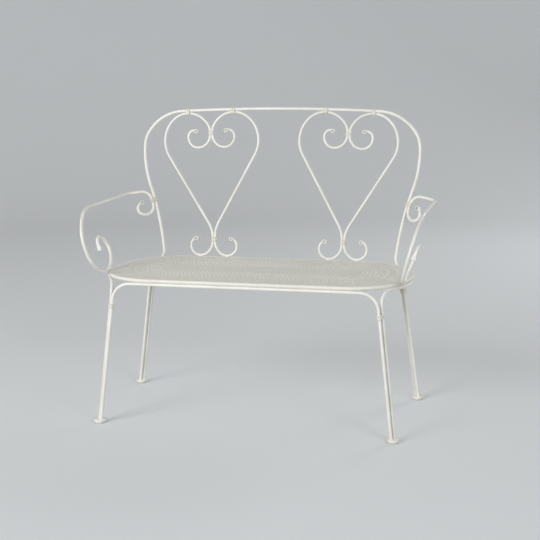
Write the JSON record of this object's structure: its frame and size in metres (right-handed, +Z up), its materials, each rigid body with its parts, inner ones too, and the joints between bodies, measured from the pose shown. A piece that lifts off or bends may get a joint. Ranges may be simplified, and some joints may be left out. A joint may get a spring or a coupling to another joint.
{
  "type": "garden bench",
  "caption": "Scrolled steel-rod garden bench: perforated seat with rounded ends, heart-scroll back, looped arms, splayed paired-rod legs.",
  "frame": {"origin": "centre of the object's footprint box, on the floor", "axes": "+X along the bench to the sitter's left, +Z up, -Y to the front"},
  "size_m": [1.066, 0.5242, 0.9501],
  "materials": {
    "rod": "satin ivory paint, brushed on thick",
    "seat_sheet": "satin ivory paint on perforated sheet",
    "collar": "satin ivory paint, softened edges",
    "glide": "worn matt off-white"
  },
  "bodies": {
    "root": {"seat_pan": "seat_sheet", "seat_wire": "rod", "front_hoop": "rod", "side_hoop_left": "rod", "side_hoop_right": "rod", "back_frame": "rod", "heart_left_outer": "rod", "heart_left_inner": "rod", "heart_right_inner": "rod", "heart_right_outer": "rod", "arm_left": "rod", "arm_right": "rod", "rail_collar_1": "collar", "rail_collar_2": "collar", "rail_collar_3": "collar", "rail_collar_4": "collar", "heart_collar_left": "collar", "heart_collar_right": "collar", "heart_foot_collar_left": "collar", "heart_foot_collar_right": "collar", "arm_collar_left": "collar", "arm_collar_right": "collar", "leg_collar_front_left": "collar", "leg_collar_front_right": "collar", "leg_collar_rear_left": "collar", "leg_collar_rear_right": "collar", "foot_cup_front_left": "rod", "foot_cup_front_right": "rod", "foot_cup_rear_left": "rod", "foot_cup_rear_right": "rod", "glide_front_left": "glide", "glide_front_right": "glide", "glide_rear_left": "glide", "glide_rear_right": "glide", "leg_spacers": "rod"}
  },
  "joints": []
}
